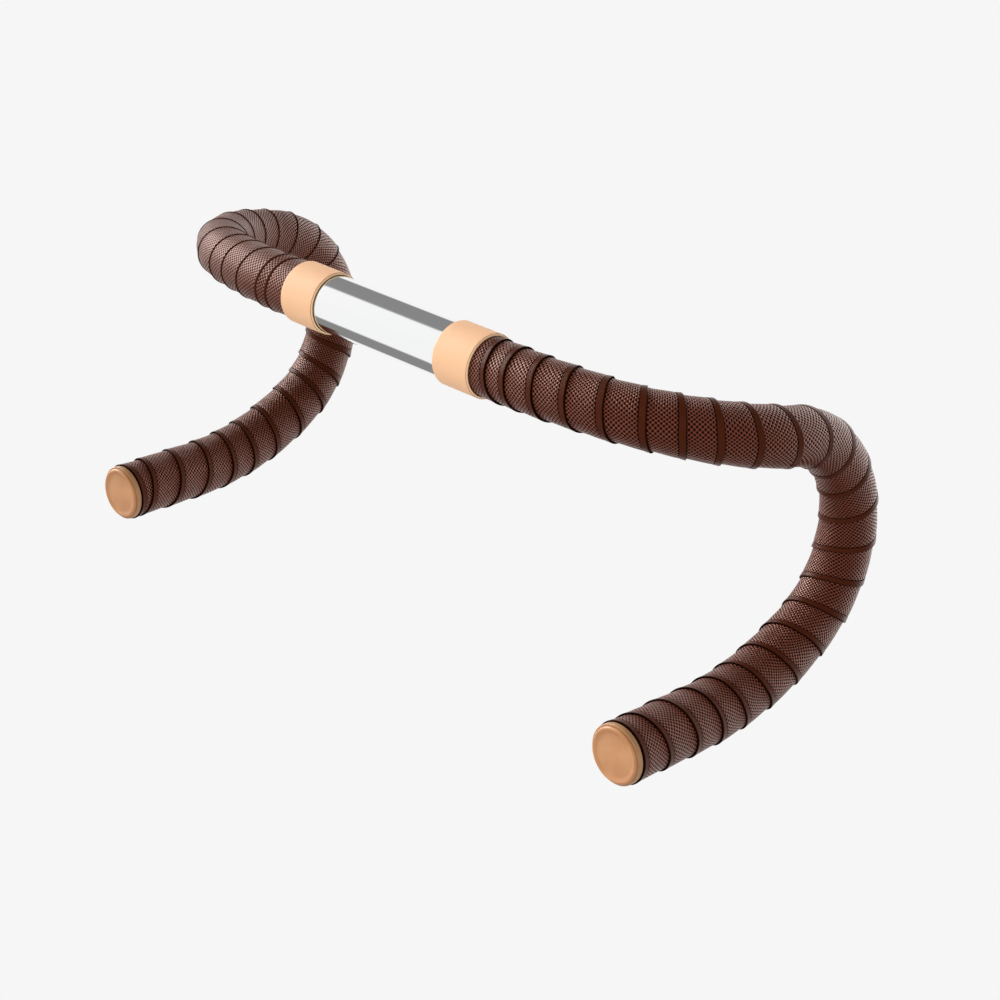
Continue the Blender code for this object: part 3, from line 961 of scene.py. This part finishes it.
def surround():
    """A studio round the bar: bright to its left and in front, dim opposite and overhead, with two soft
    dark panels that lie along the bar, one softbox and a brighter patch straight in front."""
    world = bpy.data.worlds.new("studio")
    bpy.context.scene.world = world
    world.use_nodes = True
    tree = world.node_tree
    tree.nodes.clear()

    def node(kind, **properties):
        made = tree.nodes.new(kind)
        for key, value in properties.items():
            setattr(made, key, value)
        return made

    def calculate(operation, *values):
        made = node("ShaderNodeMath", operation=operation)
        for socket, value in zip(made.inputs, values):
            if isinstance(value, bpy.types.NodeSocket):
                tree.links.new(value, socket)
            else:
                socket.default_value = value
        return made.outputs[0]

    def eased(value, low, high, start, end):
        made = node("ShaderNodeMapRange", interpolation_type="SMOOTHSTEP")
        tree.links.new(value, made.inputs["Value"])
        for name, limit in (("From Min", low), ("From Max", high), ("To Min", start), ("To Max", end)):
            made.inputs[name].default_value = limit
        return made.outputs["Result"]

    def towards(heading):
        made = node("ShaderNodeVectorMath", operation="DOT_PRODUCT")
        tree.links.new(direction, made.inputs[0])
        made.inputs[1].default_value = Vector(heading).normalized()
        return made.outputs["Value"]

    direction = node("ShaderNodeTexCoord").outputs["Generated"]
    parts = node("ShaderNodeSeparateXYZ")
    tree.links.new(direction, parts.inputs[0])
    side = eased(towards(BRIGHT_SIDE), *BRIGHT_SIDE_EDGE, DIM_LEVEL, 1.0)
    ceiling = eased(parts.outputs["Z"], *CEILING_EDGE, 1.0, DIM_LEVEL)
    level = calculate("MINIMUM", side, ceiling)
    angle = calculate("ARCTAN2", parts.outputs["Z"], parts.outputs["Y"])
    for middle, half_width, soft, depth in DARK_PANELS:
        away = calculate("ABSOLUTE", calculate("SUBTRACT", angle, math.radians(middle)))
        away = calculate("MINIMUM", away, calculate("SUBTRACT", 2 * math.pi, away))
        seen = eased(away, math.radians(half_width), math.radians(half_width + soft), depth, 1.0)
        level = calculate("MULTIPLY", level, seen)
    level = calculate("MULTIPLY", level, SURROUND_LEVEL)
    softbox = eased(towards(SOFTBOX), *SOFTBOX_EDGE, 0.0, SOFTBOX_LEVEL)
    softbox = calculate("MULTIPLY", softbox, eased(parts.outputs["X"], *SOFTBOX_END, 1.0, 0.0))
    level = calculate("ADD", level, softbox)
    level = calculate("ADD", level, eased(parts.outputs["Y"], *FRONT_EDGE, 0.0, FRONT_LEVEL))
    light = node("ShaderNodeBackground")
    tree.links.new(level, light.inputs["Strength"])
    out = node("ShaderNodeOutputWorld")
    tree.links.new(light.outputs[0], out.inputs["Surface"])


def soft_light(name, place, aim, size, power):
    data = bpy.data.lights.new(name, "AREA")
    data.shape = "RECTANGLE"
    data.size, data.size_y = size
    data.energy = power
    lamp = bpy.data.objects.new(name, data)
    bpy.context.scene.collection.objects.link(lamp)
    lamp.location = place
    lamp.rotation_euler = (Vector(aim) - Vector(place)).to_track_quat("-Z", "Y").to_euler()
    lamp.visible_glossy = False


def camera():
    data = bpy.data.cameras.new("camera")
    data.lens = CAMERA_LENS
    data.sensor_width = CAMERA_SENSOR
    obj = bpy.data.objects.new("camera", data)
    bpy.context.scene.collection.objects.link(obj)
    place = Vector(CAMERA_PLACE) * MM
    towards = (Vector(CAMERA_AIM) * MM - place).to_track_quat("-Z", "Y").to_matrix().to_4x4()
    obj.matrix_world = Matrix.Translation(place) @ towards
    bpy.context.scene.camera = obj


def main():
    bpy.context.scene.view_settings.view_transform = "Standard"
    camera()
    floor()
    surround()
    soft_light("fill_light", FILL_PLACE, FILL_AIM, FILL_SIZE, FILL_POWER)

    white_metal = (linear(254, 254, 254), linear(251, 252, 252))
    looks = {
        "tube": metal_look("polished_alloy", *white_metal, 0.07, 0.004, (0.05, 1, 1)),
        "tape": tape_look(),
        "band": band_look(),
        "gum": gum_look("gum_cap", linear(180, 135, 93), linear(166, 121, 82), 0.42),
        "gum_face": gum_look("gum_face", linear(200, 144, 97), linear(186, 129, 85), 0.36),
        "zinc": metal_look("zinc_screw", linear(196, 198, 202), linear(170, 172, 178), 0.3, 0.02),
        "nylon": nylon_look(),
        "wedge": metal_look("wedge_alloy", linear(178, 180, 184), linear(158, 160, 165), 0.36, 0.02),
    }
    polished_tube(looks["tube"])
    for side, mirror in SIDES:
        wound_tape(side, mirror, looks["tape"])
        finishing_band(side, mirror, looks["band"])
        plug(side, looks)


main()
